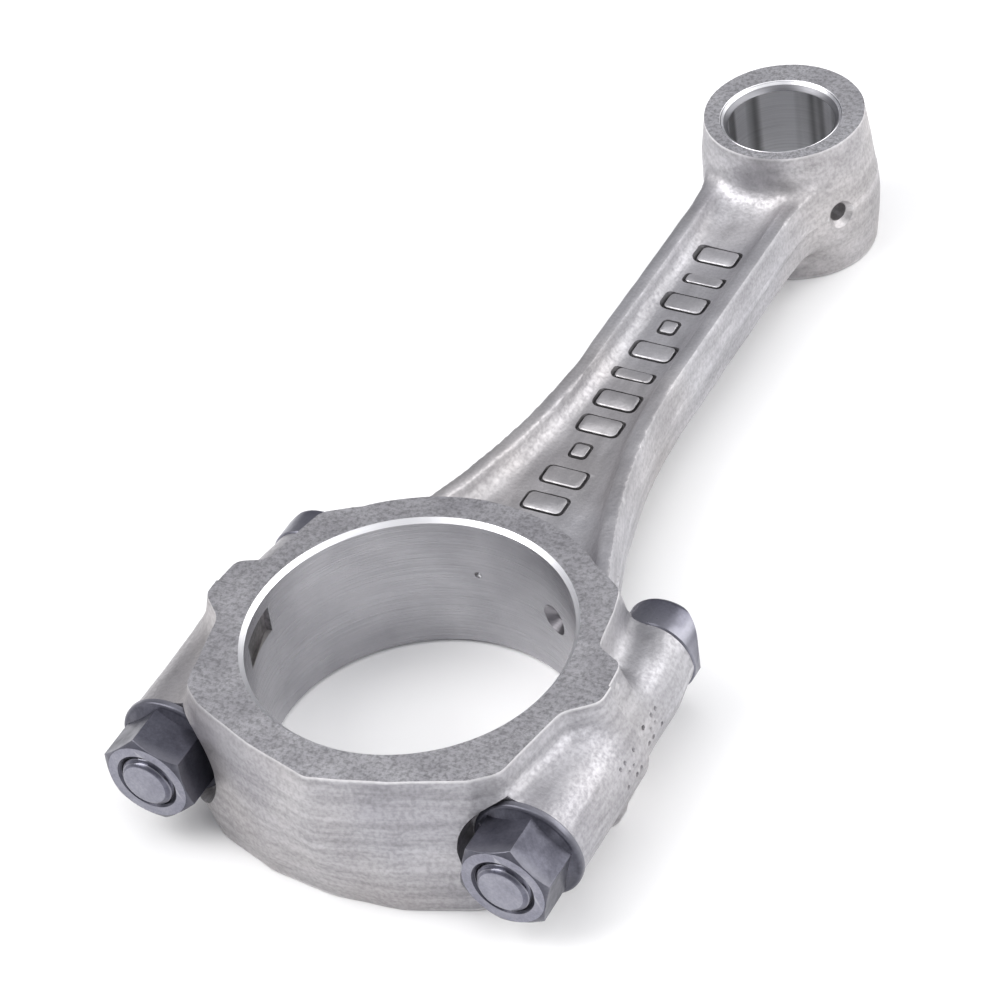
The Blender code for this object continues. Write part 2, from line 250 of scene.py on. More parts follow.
def rounded(corners, steps=8):
    """Outline with its corners filleted, from (x, y, radius) corners."""
    path = []
    count = len(corners)
    for i, (x, y, radius) in enumerate(corners):
        px, py, _ = corners[i - 1]
        nx, ny, _ = corners[(i + 1) % count]
        ax, ay = px - x, py - y
        bx, by = nx - x, ny - y
        la, lb = math.hypot(ax, ay), math.hypot(bx, by)
        ax, ay, bx, by = ax / la, ay / la, bx / lb, by / lb
        turn = math.acos(max(-1.0, min(1.0, ax * bx + ay * by)))
        if radius == 0 or turn > math.radians(178):
            path.append((x, y))
            continue
        reach = min(radius / math.tan(turn / 2), 0.49 * la, 0.49 * lb)
        for k in range(steps + 1):
            t = k / steps
            p = (1 - t) ** 2
            q = t ** 2
            path.append((x + ax * reach * p + bx * reach * q, y + ay * reach * p + by * reach * q))
    return path


def mirrored(half):
    return half + [(-x, y, r) for x, y, r in reversed(half) if x > 0]


# ------------------------------------------------- forged skins from distance fields

def smooth_min(a, b, k):
    h = np.maximum(k - np.abs(a - b), 0.0) / k
    return np.minimum(a, b) - h * h * k / 4


def smooth_max(a, b, k):
    return -smooth_min(-a, -b, k)


def outline_distance(path, x, y):
    """Signed distance in the plane to a closed outline, negative inside."""
    points = np.array(path)
    ends = np.roll(points, -1, axis=0)
    best = np.full(x.shape, 1e9)
    inside = np.zeros(x.shape, bool)
    for (ax, ay), (bx, by) in zip(points, ends):
        dx, dy = bx - ax, by - ay
        length2 = dx * dx + dy * dy
        if length2 == 0:
            continue
        t = np.clip(((x - ax) * dx + (y - ay) * dy) / length2, 0, 1)
        best = np.minimum(best, np.hypot(x - ax - t * dx, y - ay - t * dy))
        if dy:
            crosses = ((ay > y) != (by > y)) & (x < dx * (y - ay) / dy + ax)
            inside ^= crosses
    return np.where(inside, -best, best)


def surface(field, low, step):
    """Closed quad mesh of a field's zero level, one point to each cell it crosses (surface nets)."""
    shape = np.array(field.shape)
    cells = shape - 1
    size = int(np.prod(cells))
    total = np.zeros((size, 3))
    number = np.zeros(size)
    quads = []
    for axis in range(3):
        a = np.moveaxis(field, axis, 0)
        low_side, high_side = a[:-1], a[1:]
        index = np.array(np.nonzero((low_side < 0) != (high_side < 0)))
        f0 = low_side[tuple(index)]
        f1 = high_side[tuple(index)]
        grid = index.astype(float)
        grid[0] += f0 / (f0 - f1)
        others = [k for k in range(3) if k != axis]
        point = np.empty((3, index.shape[1]))
        cell = np.empty((3, index.shape[1]), int)
        point[axis] = grid[0]
        cell[axis] = index[0]
        for row, k in enumerate(others):
            point[k] = grid[row + 1]
            cell[k] = index[row + 1]
        u, v = (axis + 1) % 3, (axis + 2) % 3
        corners = []
        for du, dv in ((-1, -1), (0, -1), (0, 0), (-1, 0)):
            near = cell.copy()
            near[u] += du
            near[v] += dv
            flat = (near[0] * cells[1] + near[1]) * cells[2] + near[2]
            for k in range(3):
                total[:, k] += np.bincount(flat, point[k], size)
            number += np.bincount(flat, minlength=size)
            corners.append(flat)
        quad = np.stack(corners, 1)
        flip = f0 >= 0
        quad[flip] = quad[flip][:, ::-1]
        quads.append(quad)
    quads = np.concatenate(quads)
    used = np.nonzero(number)[0]
    lookup = np.full(size, -1)
    lookup[used] = np.arange(len(used))
    points = total[used] / number[used, None] * step + np.array(low)
    return points, lookup[quads]


def waves(points, seed, count, shortest, longest):
    """Smooth random relief between -1 and 1, the sum of plane waves in seeded directions."""
    rng = np.random.default_rng(seed)
    value = np.zeros(len(points))
    for _ in range(count):
        direction = rng.normal(size=3)
        direction /= np.linalg.norm(direction)
        length = rng.uniform(shortest, longest)
        value += np.sin(points @ direction * (FULL_TURN / length) + rng.uniform(0, FULL_TURN))
    return value / math.sqrt(count)


def skin(name, upper_of, lower_of, reach, step, seed):
    """Mesh a forged body, the same on both sides of X = 0, from its fields above and below Z = 0.

    The grid's reach is (x, (lowest y, highest y), z).
    """
    x_max, (y_min, y_max), z_max = reach
    xs = (np.arange(int(x_max / step)) + 0.5) * step
    zs = (np.arange(int(z_max / step)) + 0.5) * step
    ys = np.arange(y_min, y_max, step)
    grid = (xs[:, None, None], ys[None, :, None], zs[None, None, :])
    upper = upper_of(*grid)
    lower = upper if lower_of is upper_of else lower_of(*grid)
    quarter = np.concatenate([lower[:, :, ::-1], upper], 2)
    field = np.concatenate([quarter[::-1], quarter], 0)
    points, quads = surface(field, (-xs[-1], y_min, -zs[-1]), step)
    mesh = bpy.data.meshes.new(name)
    mesh.vertices.add(len(points))
    mesh.vertices.foreach_set("co", points.astype(np.float32).ravel())
    mesh.loops.add(quads.size)
    mesh.loops.foreach_set("vertex_index", quads.astype(np.int32).ravel())
    mesh.polygons.add(len(quads))
    mesh.polygons.foreach_set("loop_start", np.arange(0, quads.size, 4, dtype=np.int32))
    mesh.update(calc_edges=True)
    normals = np.empty(len(points) * 3, np.float32)
    mesh.vertices.foreach_get("normal", normals)
    relief = 0.045 * waves(points, seed, 24, 5, 16) + 0.012 * waves(points, seed + 1, 30, 2.2, 4)
    points = settle_rod(points + normals.reshape(-1, 3) * relief[:, None])
    mesh.vertices.foreach_set("co", points.astype(np.float32).ravel())
    mesh.update()
    return new_object(name, mesh)


def swell(z):
    """How far a forging's side stands out at a height: most at the parting plane."""
    return SWELL * (1 - (np.minimum(z, HALF_WIDTH) / HALF_WIDTH) ** 2.4)


def flash(z):
    """The trimmed flash line of the forging dies, a low rib along the parting plane."""
    return 0.13 * np.exp(-(z / 0.8) ** 4)


ROD_LAND = [(34.7, -3.0, 0), (34.1, 5.0, 2.0), (29.3, 7.2, 2.5), (27.9, 15.5, 0), (26.7, 20.1, 3.0),
            (21.9, 23.2, 2.5)]
RING_ARC = [(RING_R * math.cos(math.radians(angle)), RING_R * math.sin(math.radians(angle)), 0)
            for angle in range(48, 91, 3)]
CAP_LAND = [(34.8, 3.0, 0), (34.8, -3.4, 2.5), (30.2, -7.6, 3.5), (28.4, -16.5, 0), (27.3, -22.4, 4.0),
            (23.5, -25.4, 2.0), (12.0, -30.1, 6.0), (0.0, -33.4, 3.0)]
CAP_LOW = [(34.8, 3.0, 0), (34.8, -3.4, 2.5), (30.2, -7.6, 3.5), (28.8, -16.5, 0), (28.0, -22.6, 6.0),
           (22.6, -27.3, 7.0), (11.5, -31.2, 12.0), (0.0, -32.4, 14.0)]


def ease(value):
    t = np.clip(value, 0, 1)
    return t * t * (3 - 2 * t)


def settle_rod(points):
    """The eye's lower half stands a little fuller than its upper half, and to the right."""
    x, y, z = points.T
    at_eye = ease((y - 128.0) / 8.0)
    low = ease((9.0 - z) / 12.0) * at_eye
    moved = points.copy()
    moved[:, 0] += 0.6 * low
    radius = np.maximum(np.hypot(x, y - EYE_Y), 1.0)
    fuller = 0.35 * ease((1.0 - z) / 5.0) * at_eye
    moved[:, 0] += fuller * x / radius
    return moved


def beam_half_width(y):
    """A waist that flares towards the big end, and a little towards the eye."""
    big = np.clip((78.0 - y) / 45.0, 0, None) ** 1.9
    small = np.clip((y - 121.0) / 15.0, 0, None) ** 2
    return BEAM_WAIST + 9.1 * big + 2.2 * small


def rod_field(x, y, z):
    land = outline_distance(rounded(mirrored(ROD_LAND + RING_ARC)), x + 0 * y, y + 0 * x)
    ring = np.maximum(land - swell(z), z - BLANK_Z)
    narrowed = BOSS_NARROWS * ease((y - BOSS_NARROWS_FROM) / (HEAD_SEAT_Y - BOSS_NARROWS_FROM))
    boss = np.hypot(x - BOLT_X, z) - BOSS_ROD_R + narrowed
    boss = np.maximum(boss, np.maximum(y - (HEAD_SEAT_Y + 1.5), -3.0 - y))
    big_end = smooth_min(ring, boss, FORGING_BLEND)

    width = beam_half_width(y)
    slope = np.sqrt(1 + np.gradient(width, y.ravel(), axis=1) ** 2)
    side = (x - width - 0.5 * (1 - z / BEAM_HALF_THICK)) / slope + BEAM_EDGE
    top = z - BEAM_HALF_THICK + BEAM_EDGE + 0 * side
    beam = np.hypot(np.maximum(side, 0), np.maximum(top, 0)) + np.minimum(np.maximum(side, top), 0)
    beam = np.maximum(beam - BEAM_EDGE, np.maximum(BEAM_START - y, y - BEAM_END))
    depth = (BEAM_HALF_THICK - z) / (BEAM_HALF_THICK - WEB_HALF_THICK)
    wall = (x - (width - FLANGE_TOP - POCKET_SLOPE * depth)) / slope
    floor = WEB_HALF_THICK - z
    end = (y - (POCKET_END - POCKET_END_SLOPE * depth)) * 0.4
    pocket = smooth_max(smooth_max(wall, floor + 0 * wall, 2.6), end + 0 * wall, 3.0)
    beam = smooth_max(beam, -pocket, 0.5)

    eye_r = EYE_FACE_R + (EYE_MID_R - EYE_FACE_R) * (1 - (np.minimum(z, HALF_WIDTH) / HALF_WIDTH) ** 2)
    eye = np.maximum(np.hypot(x, y - EYE_Y) - eye_r, z - BLANK_Z)
    body = smooth_min(beam, big_end, 3.0)
    body = smooth_min(body, eye, 3.5)
    return body - flash(z)


def cap_field(x, y, z):
    return cap_body(outline_distance(rounded(mirrored(CAP_LAND)), x + 0 * y, y + 0 * x), x, y, z)


def cap_low_field(x, y, z):
    """The lower die's half: the crown runs over from the upper outline to a rounder one."""
    upper = outline_distance(rounded(mirrored(CAP_LAND)), x + 0 * y, y + 0 * x)
    lower = outline_distance(rounded(mirrored(CAP_LOW)), x + 0 * y, y + 0 * x)
    return cap_body(upper + (lower - upper) * ease(z / 9.0), x, y, z)


def cap_body(land, x, y, z):
    shell = np.maximum(land - swell(z), z - BLANK_Z)
    boss = np.hypot(x - BOLT_X, z) - BOSS_CAP_R
    boss = np.maximum(boss + 0 * y, np.maximum((NUT_SEAT_Y - 1.5) - y, y - 3.0))
    return smooth_min(shell, boss, FORGING_BLEND) - flash(z)


# ---------------------------------------------------------------- materials

def node_material(name, colour, metallic, roughness):
    mat = bpy.data.materials.new(name)
    mat.use_nodes = True
    shader = mat.node_tree.nodes["Principled BSDF"]
    shader.inputs["Base Color"].default_value = (*colour, 1.0)
    shader.inputs["Metallic"].default_value = metallic
    shader.inputs["Roughness"].default_value = roughness
    return mat, mat.node_tree, shader


def add(tree, kind, **values):
    node = tree.nodes.new(kind)
    for key, value in values.items():
        if key in node.inputs:
            node.inputs[key].default_value = value
        else:
            setattr(node, key, value)
    return node


def noise(tree, vector, scale, detail=4.0, rough=0.55):
    node = add(tree, "ShaderNodeTexNoise")
    node.inputs["Scale"].default_value = scale
    node.inputs["Detail"].default_value = detail
    node.inputs["Roughness"].default_value = rough
    tree.links.new(vector, node.inputs["Vector"])
    return node.outputs["Fac"]


def ramp(tree, factor, stops):
    node = add(tree, "ShaderNodeValToRGB")
    elements = node.color_ramp.elements
    while len(elements) < len(stops):
        elements.new(0.5)
    for element, (place, value) in zip(elements, stops):
        element.position = place
        element.color = (*value, 1.0) if isinstance(value, tuple) else (value, value, value, 1.0)
    tree.links.new(factor, node.inputs["Fac"])
    return node.outputs["Color"]


def mix(tree, kind, factor, a, b):
    node = add(tree, "ShaderNodeMix", data_type="RGBA", blend_type=kind)
    if isinstance(factor, float):
        node.inputs[0].default_value = factor
    else:
        tree.links.new(factor, node.inputs[0])
    for socket, value in ((node.inputs[6], a), (node.inputs[7], b)):
        if isinstance(value, tuple):
            socket.default_value = (*value, 1.0)
        else:
            tree.links.new(value, socket)
    return node.outputs[2]


def bump(tree, height, strength, distance, normal=None):
    node = add(tree, "ShaderNodeBump")
    node.inputs["Strength"].default_value = strength
    node.inputs["Distance"].default_value = distance
    tree.links.new(height, node.inputs["Height"])
    if normal is not None:
        tree.links.new(normal, node.inputs["Normal"])
    return node.outputs["Normal"]


def object_place(tree, scale=(1.0, 1.0, 1.0)):
    place = add(tree, "ShaderNodeTexCoord")
    mapping = add(tree, "ShaderNodeMapping")
    mapping.inputs["Scale"].default_value = scale
    tree.links.new(place.outputs["Object"], mapping.inputs["Vector"])
    return mapping.outputs["Vector"]


# Painted highlight tone for the light line just under the ground faces.
RIM_HIGHLIGHT_TONE = (0.80, 0.79, 0.80)


def painted_rim_highlight(tree):
    """Strength of the painted highlight line just under both ground faces."""
    split = add(tree, "ShaderNodeSeparateXYZ")
    tree.links.new(object_place(tree), split.inputs["Vector"])
    height = add(tree, "ShaderNodeMath", operation="SUBTRACT")
    tree.links.new(split.outputs["Z"], height.inputs[0])
    height.inputs[1].default_value = BIG_CENTRE.z
    away = add(tree, "ShaderNodeMath", operation="ABSOLUTE")
    tree.links.new(height.outputs[0], away.inputs[0])
    share = add(tree, "ShaderNodeMath", operation="DIVIDE")
    tree.links.new(away.outputs[0], share.inputs[0])
    share.inputs[1].default_value = HALF_WIDTH * MM
    return ramp(tree, share.outputs[0], [(0.955, 0.0), (0.985, 0.7)])


def forged_material(name, light, dark, streak):
    """Shot-blasted forging: fine peened grain, faint drawn streaks, painted shade in its hollows, rubbed
    ridges and a painted highlight line just under the ground faces.
    """
    mat, tree, shader = node_material(name, light, 0.92, 0.42)
    place = object_place(tree)
    grain = noise(tree, place, 3200, 3.0, 0.6)
    peen = noise(tree, place, 1500, 3.0, 0.55)
    cloud = noise(tree, place, 70, 3.0, 0.5)
    drawn = noise(tree, object_place(tree, streak), 1.0, 4.0, 0.6)
    broad = noise(tree, place, 28, 2.0, 0.5)
    colour = ramp(tree, cloud, [(0.25, dark), (0.75, light)])
    colour = mix(tree, "MULTIPLY", 0.5, colour, ramp(tree, peen, [(0.36, 0.70), (0.60, 1.0)]))
    colour = mix(tree, "MULTIPLY", 0.6, colour, ramp(tree, drawn, [(0.36, 0.62), (0.60, 1.0)]))
    warm = ramp(tree, broad, [(0.38, (1.0, 0.98, 0.965)), (0.62, (0.97, 0.975, 1.0))])
    colour = mix(tree, "MULTIPLY", 1.0, colour, warm)
    geometry = add(tree, "ShaderNodeNewGeometry")
    # Painted shade: darker in hollows and creases, taken from the surface's curvature.
    painted_hollow_shade = ramp(tree, geometry.outputs["Pointiness"], [(0.40, 0.35), (0.485, 1.0)])
    colour = mix(tree, "MULTIPLY", 1.0, colour, painted_hollow_shade)
    worn = ramp(tree, geometry.outputs["Pointiness"], [(0.52, 0.0), (0.60, 0.6)])
    colour = mix(tree, "MIX", worn, colour, light)
    # Painted highlight: a light line just under both ground faces, patchy along its length.
    rubbed = mix(tree, "MULTIPLY", 1.0, painted_rim_highlight(tree), ramp(tree, broad, [(0.38, 0.25), (0.58, 1.0)]))
    colour = mix(tree, "MIX", rubbed, colour, RIM_HIGHLIGHT_TONE)
    tree.links.new(colour, shader.inputs["Base Color"])
    rough = ramp(tree, peen, [(0.3, 0.58), (0.7, 0.40)])
    tree.links.new(rough, shader.inputs["Roughness"])
    normal = bump(tree, peen, 0.5, 0.00012)
    normal = bump(tree, grain, 0.3, 0.00005, normal)
    normal = bump(tree, drawn, 0.35, 0.00012, normal)
    tree.links.new(normal, shader.inputs["Normal"])
    return mat


def ground_material(name, light, dark):
    """Ground face: dull grey with short crossing scratches and specks."""
    mat, tree, shader = node_material(name, light, 0.95, 0.4)
    place = object_place(tree)
    speck = noise(tree, place, 1150, 4.0, 0.7)
    cloud = noise(tree, place, 160, 4.0, 0.6)
    along = noise(tree, object_place(tree, (220.0, 5200.0, 220.0)), 1.0, 3.0, 0.6)
    across = noise(tree, object_place(tree, (4300.0, 260.0, 260.0)), 1.0, 3.0, 0.6)
    colour = ramp(tree, cloud, [(0.30, dark), (0.70, light)])
    colour = mix(tree, "MULTIPLY", 0.85, colour, ramp(tree, speck, [(0.38, 0.42), (0.58, 1.0)]))
    colour = mix(tree, "MULTIPLY", 0.35, colour, ramp(tree, along, [(0.40, 0.6), (0.60, 1.0)]))
    tree.links.new(colour, shader.inputs["Base Color"])
    tree.links.new(ramp(tree, speck, [(0.35, 0.52), (0.65, 0.36)]), shader.inputs["Roughness"])
    normal = bump(tree, along, 0.25, 0.00003)
    normal = bump(tree, across, 0.2, 0.00003, normal)
    normal = bump(tree, speck, 0.35, 0.00007, normal)
    tree.links.new(normal, shader.inputs["Normal"])
    return mat


def bored_material(name, light, dark, roughness, lines, strength, bands=0.0):
    """Bored or honed wall: fine rings round the bore, and burnished bands along it if asked."""
    mat, tree, shader = node_material(name, light, 1.0, roughness)
    rings = noise(tree, object_place(tree, (60.0, 60.0, lines)), 1.0, 4.0, 0.65)
    fine = noise(tree, object_place(tree, (90.0, 90.0, lines * 3.1)), 1.0, 2.0, 0.6)
    cloud = noise(tree, object_place(tree), 110, 3.0, 0.5)
    colour = ramp(tree, cloud, [(0.3, dark), (0.7, light)])
    colour = mix(tree, "MULTIPLY", 0.5, colour, ramp(tree, rings, [(0.36, 0.72), (0.6, 1.0)]))
    if bands:
        along = noise(tree, object_place(tree, (210.0, 210.0, 6.0)), 1.0, 2.0, 0.5)
        colour = mix(tree, "MULTIPLY", bands, colour, ramp(tree, along, [(0.40, 0.35), (0.56, 1.0)]))
    tree.links.new(colour, shader.inputs["Base Color"])
    rough = ramp(tree, rings, [(0.3, roughness + 0.07), (0.7, roughness - 0.05)])
    tree.links.new(rough, shader.inputs["Roughness"])
    normal = bump(tree, rings, strength, 0.00003)
    normal = bump(tree, fine, strength * 0.7, 0.00002, normal)
    tree.links.new(normal, shader.inputs["Normal"])
    return mat


RUBBED_BLACK = (0.36, 0.36, 0.40)


def black_material(name, light, dark, roughness, metallic):
    """Blackened or machined steel: a clouded tone with fine specks and grey rubbed edges."""
    mat, tree, shader = node_material(name, light, metallic, roughness)
    place = object_place(tree)
    cloud = noise(tree, place, 320, 4.0, 0.6)
    speck = noise(tree, place, 2100, 3.0, 0.6)
    colour = ramp(tree, cloud, [(0.32, dark), (0.70, light)])
    colour = mix(tree, "MULTIPLY", 0.4, colour, ramp(tree, speck, [(0.4, 0.6), (0.6, 1.0)]))
    geometry = add(tree, "ShaderNodeNewGeometry")
    worn = ramp(tree, geometry.outputs["Pointiness"], [(0.515, 0.0), (0.60, 1.0)])
    colour = mix(tree, "MIX", worn, colour, RUBBED_BLACK)
    tree.links.new(colour, shader.inputs["Base Color"])
    rough = ramp(tree, cloud, [(0.3, roughness + 0.08), (0.7, roughness - 0.06)])
    tree.links.new(rough, shader.inputs["Roughness"])
    normal = bump(tree, speck, 0.35, 0.00004)
    normal = bump(tree, cloud, 0.2, 0.0001, normal)
    tree.links.new(normal, shader.inputs["Normal"])
    return mat


FORGED = forged_material("forged_skin", (0.60, 0.59, 0.60), (0.44, 0.43, 0.445), (240.0, 45.0, 420.0))
# The cap's skin: a darker copy of the rod's as painted shade, with its drawn streaks running another way.
FORGED_CAP_SHADED = forged_material("forged_skin_cap_shaded", (0.55, 0.54, 0.55), (0.39, 0.38, 0.40), (60.0, 60.0, 700.0))
# The rod's trimmed flash strip, lighter than the skin: partly its own trimmed finish, partly a painted
# highlight.
FLASH_TRIM_AND_HIGHLIGHT = forged_material("trimmed_flash_and_highlight", (0.66, 0.65, 0.66), (0.50, 0.49, 0.51), (90.0, 90.0, 90.0))
# Dark walls and moats round the web's marks: painted shade that outlines them.
MARK_SHADE_MATERIAL = forged_material("mark_wall_painted_shade", (0.27, 0.265, 0.27), (0.16, 0.155, 0.16), (300.0, 300.0, 300.0))
GROUND = ground_material("ground_face", (0.70, 0.69, 0.72), (0.50, 0.49, 0.52))
# The eye's ground faces, a lighter copy of the ground finish: painted light.
GROUND_EYE_LIT = ground_material("ground_face_eye_lit_copy", (0.86, 0.85, 0.88), (0.64, 0.63, 0.66))
BUSH_EDGE = bored_material("bush_chamfer", (0.80, 0.80, 0.82), (0.66, 0.66, 0.69), 0.34, 5000.0, 0.12)
# The bush's inner chamfer cone, a darker copy of the bush metal: painted shade.
BUSH_CONE_SHADED = bored_material("bush_cone_shaded", (0.27, 0.27, 0.285), (0.19, 0.19, 0.205), 0.40, 5000.0, 0.2)
HONED = bored_material("honed_bore", (0.50, 0.495, 0.52), (0.40, 0.395, 0.42), 0.28, 9000.0, 0.35)
# Bore chamfers, far lighter than the bored wall they are cut in: painted highlight.
CHAMFER_HIGHLIGHT = bored_material("chamfer_painted_highlight", (0.90, 0.90, 0.92), (0.82, 0.82, 0.85), 0.42, 5000.0, 0.12)
DRILLED = bored_material("drilled_hole", (0.34, 0.33, 0.35), (0.24, 0.23, 0.25), 0.40, 4000.0, 0.4)
BUSH = bored_material("bush_wall", (0.98, 0.98, 1.0), (0.92, 0.92, 0.95), 0.40, 7000.0, 0.12, 1.0)
BLACK = black_material("blackened_steel", (0.17, 0.17, 0.21), (0.10, 0.10, 0.135), 0.32, 0.85)
BLACK_NUT = black_material("blackened_nut", (0.100, 0.100, 0.128), (0.055, 0.055, 0.075), 0.34, 0.60)
FACED = black_material("faced_end", (0.30, 0.30, 0.35), (0.22, 0.22, 0.27), 0.36, 0.85)


# ---------------------------------------------------------------- finishing pieces

def give_materials(obj, materials, choose):
    """Set each face's material from its middle and normal, both in millimetre coordinates."""
    mesh = obj.data
    mesh.materials.clear()
    for mat in materials:
        mesh.materials.append(mat)
    count = len(mesh.polygons)
    centres = np.empty(count * 3, np.float32)
    normals = np.empty(count * 3, np.float32)
    mesh.polygons.foreach_get("center", centres)
    mesh.polygons.foreach_get("normal", normals)
    index = choose(centres.reshape(-1, 3), normals.reshape(-1, 3))
    mesh.polygons.foreach_set("material_index", index.astype(np.int32))


def place(obj, body, node, slot, sharp=32):
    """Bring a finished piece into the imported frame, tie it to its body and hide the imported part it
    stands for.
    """
    mesh = obj.data
    mesh.transform(TO_WORLD)
    mesh.shade_smooth()
    mesh.set_sharp_from_angle(angle=math.radians(sharp))
    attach(obj, body)
    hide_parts(node)


def bore_solid(radius, chamfer, centre_y, segments=192):
    """Cutter for a bore through both faces, flared at each mouth."""
    flare = chamfer + 1.0
    return turned([(radius + flare, -HALF_WIDTH - 1.0), (radius, -HALF_WIDTH + chamfer),
                   (radius, HALF_WIDTH - chamfer), (radius + flare, HALF_WIDTH + 1.0)],
                  segments, centre=(0.0, centre_y, 0.0))


# Pads on the web: half size across and along, and corner radius; levels are (height, outline growth)
MARK_SIZES = {"pad": (3.5, 2.0, 1.1), "bar": (3.3, 1.15, 0.8), "pip": (1.3, 1.5, 0.7)}
MARK_ORDER = ("pad", "pad", "pip", "pad", "pad", "bar", "pad", "pip", "pad", "bar", "pad")
MARKS = [(kind, 45.0 + 6.9 * k, 0.25 * math.sin(2.3 * k)) for k, kind in enumerate(MARK_ORDER)]
MARK_MOAT = ((-0.42, 0.36), (0.0, 0.58), (1.0, 1.0))
MARK_RAISED = ((-1.2, 0.10), (-0.3, 0.10), (0.14, -0.02), (0.28, -0.30))


(FORGED_SKIN, GROUND_FACE, HONED_WALL, BRIGHT_CHAMFER,
 DRILLED_WALL, FLASH_LINE, MARK_PAINTED_SHADE, EYE_GROUND_LIT) = range(8)


def forging_faces(centres, normals, y_joint, seat_y, eye):
    """Kind of surface each face of a forging belongs to, numbered as in the line above."""
    x, y, z = centres.T
    nx, ny, nz = normals.T
    index = np.full(len(x), FORGED_SKIN)
    radius = np.hypot(x, y)
    sloped = (np.abs(nz) > 0.5) & (np.abs(nz) < 0.9)
    upright = np.abs(nz) < 0.2
    flat = (np.abs(np.abs(z) - HALF_WIDTH) < 0.01) & (np.abs(nz) > 0.99)
    index[flat] = GROUND_FACE
    for face_y in (y_joint, seat_y):
        index[(np.abs(y - face_y) < 0.01) & (np.abs(ny) > 0.99)] = GROUND_FACE
    inward = (x * nx + y * ny) < 0
    in_bore = inward & (radius < BIG_BORE_R + 1.0)
    index[(radius < BIG_BORE_R + 0.05) & inward & upright] = HONED_WALL
    # Bore chamfers take the painted highlight.
    index[in_bore & sloped] = BRIGHT_CHAMFER
    # The flash strip along the parting plane, painted lighter on the rod as a highlight.
    index[(np.abs(z) < 0.7) & (np.abs(nz) < 0.6) & (index == FORGED_SKIN) & ~in_bore] = FLASH_LINE
    bolt = np.hypot(np.abs(x) - BOLT_X, z)
    index[(bolt < BOLT_R + 0.3) & (np.abs(ny) < 0.3)] = DRILLED_WALL
    if eye:
        eye_r = np.hypot(x, y - CENTRES)
        index[(eye_r < EYE_BORE_R + 0.05) & upright] = DRILLED_WALL
        # The eye's chamfer takes the painted highlight too.
        index[(eye_r < EYE_BORE_R + 0.6) & sloped] = BRIGHT_CHAMFER
        # The eye's ground faces take the lighter painted copy.
        index[flat & (y > CENTRES / 2)] = EYE_GROUND_LIT
        spurt = math.radians(SPURT_DEG)
        along = x * math.sin(spurt) + y * math.cos(spurt)
        across = np.hypot(x * math.cos(spurt) - y * math.sin(spurt), z)
        in_spurt = (across < SPURT_SINK_R + 0.1) & (along < BIG_BORE_R + 4) & (radius > BIG_BORE_R + 0.02)
        index[in_spurt & (y > 15)] = DRILLED_WALL
        # Walls and moats of the marks take the dark painted shade.
        for kind, mark_y, shift in MARKS:
            half_x, half_y, _ = MARK_SIZES[kind]
            near = (np.abs(x - shift) < half_x + 0.85) & (np.abs(y - mark_y) < half_y + 0.85) & (z > 0)
            steep = (z < WEB_HALF_THICK - 0.2) | (nz < 0.6)
            index[near & (z < WEB_HALF_THICK + 0.7) & steep] = MARK_PAINTED_SHADE
    return index


def head_seat(side, segments=48):
    """Spot face for a bolt head, flat on the side of the rod's shoulder."""
    ring = []
    for k in range(segments):
        angle = FULL_TURN * k / segments
        u = max(HEAD_SPOT_R * math.cos(angle), -HEAD_FLAT - 0.1)
        ring.append((side * (BOLT_X + u), HEAD_SPOT_R * math.sin(angle)))
    return loft([[(x, y, z) for x, z in ring] for y in (HEAD_SEAT_Y, 40.0)])


def mark_outline(kind):
    """Outline of a plain pad with round corners, about its own middle."""
    half_x, half_y, corner = MARK_SIZES[kind]
    return rounded([(half_x, half_y, corner), (-half_x, half_y, corner),
                    (-half_x, -half_y, corner), (half_x, -half_y, corner)], 5)


def mark_solid(kind, y, shift, levels):
    """Prism over a plain shape, with its outline grown by a margin at each level above the web."""
    outline = mark_outline(kind)
    rings = []
    for level, margin in levels:
        ring = []
        for a, b in outline:
            grow = 1 + margin / math.hypot(a, b)
            ring.append((shift + a * grow, y + b * grow, WEB_HALF_THICK + level))
        rings.append(ring)
    return loft(rings)


def punch_marks(away, boss_r):
    """Rows of small round punch marks on both bosses, away 1 above the joint and -1 below it."""
    tools = []
    for side in (1, -1):
        for row, angle in enumerate(PUNCH_ROWS_DEG):
            for k in range(4):
                if (row + k) % 3 == 1:
                    continue
                a = math.radians(angle)
                out = Vector((side * math.cos(a), 0.0, math.sin(a)))
                bm = turned([(0.08, -0.42), (0.42, 0.05), (0.75, 1.2)], 14)
                spot = Vector((side * BOLT_X, away * (PUNCH_START + PUNCH_STEP * k), 0.0)) + out * boss_r
                bm.transform(Matrix.Translation(spot) @ out.to_track_quat("Z", "Y").to_matrix().to_4x4())
                tools.append(bm)
    return joined(tools)


# ---------------------------------------------------------------- the pieces

STEP = 0.5


def bolt_hole(side, start, end):
    radius = BOLT_R + HOLE_PLAY
    return turned([(radius, start), (radius, end)], 64, "Y", (side * BOLT_X, 0, 0))


